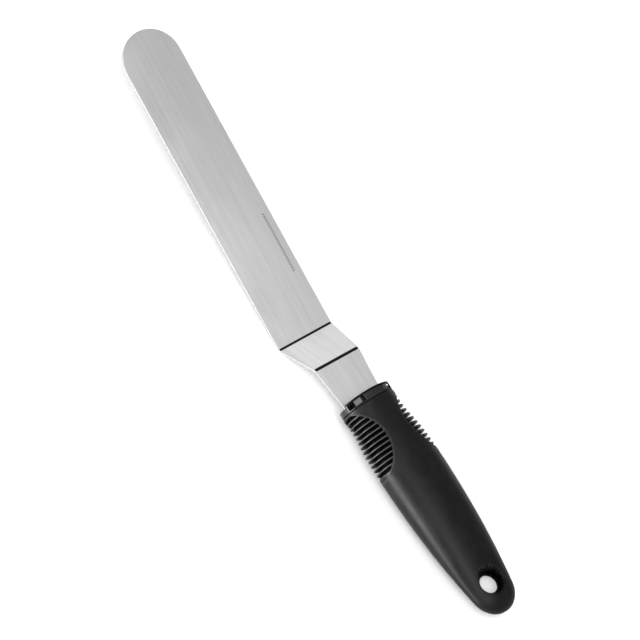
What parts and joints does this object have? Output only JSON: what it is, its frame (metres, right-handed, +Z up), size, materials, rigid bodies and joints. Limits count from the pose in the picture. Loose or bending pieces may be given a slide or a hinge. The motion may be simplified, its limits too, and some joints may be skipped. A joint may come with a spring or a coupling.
{
  "type": "offset spatula",
  "caption": "Offset icing spatula: long round-tipped steel blade stepped down from a tapering black rubber grip with side fins and a hanging hole.",
  "frame": {"origin": "centre of the bounding box's bottom face: the surface that the heel bend and the grip's belly rest on", "axes": "+X from the blade's tip to the handle's butt, +Y across the blade, +Z up from the surface; the blade's tip is raised as it lies"},
  "size_m": [0.3128, 0.0322, 0.0332],
  "materials": {
    "blade_steel": "fine lengthwise brushing, polished edges",
    "grip_rubber": "soft matte black, slightly velvety",
    "collar_plastic": "hard glossy black",
    "core_plastic": "satin mid grey",
    "rivet_metal": "as drawn"
  },
  "bodies": {
    "root": {"blade": "blade_steel", "grip": "grip_rubber", "collar": "collar_plastic", "core_upper": "core_plastic", "core_lower": "core_plastic", "rivet_front": "rivet_metal", "rivet_rear": "rivet_metal"}
  },
  "joints": []
}
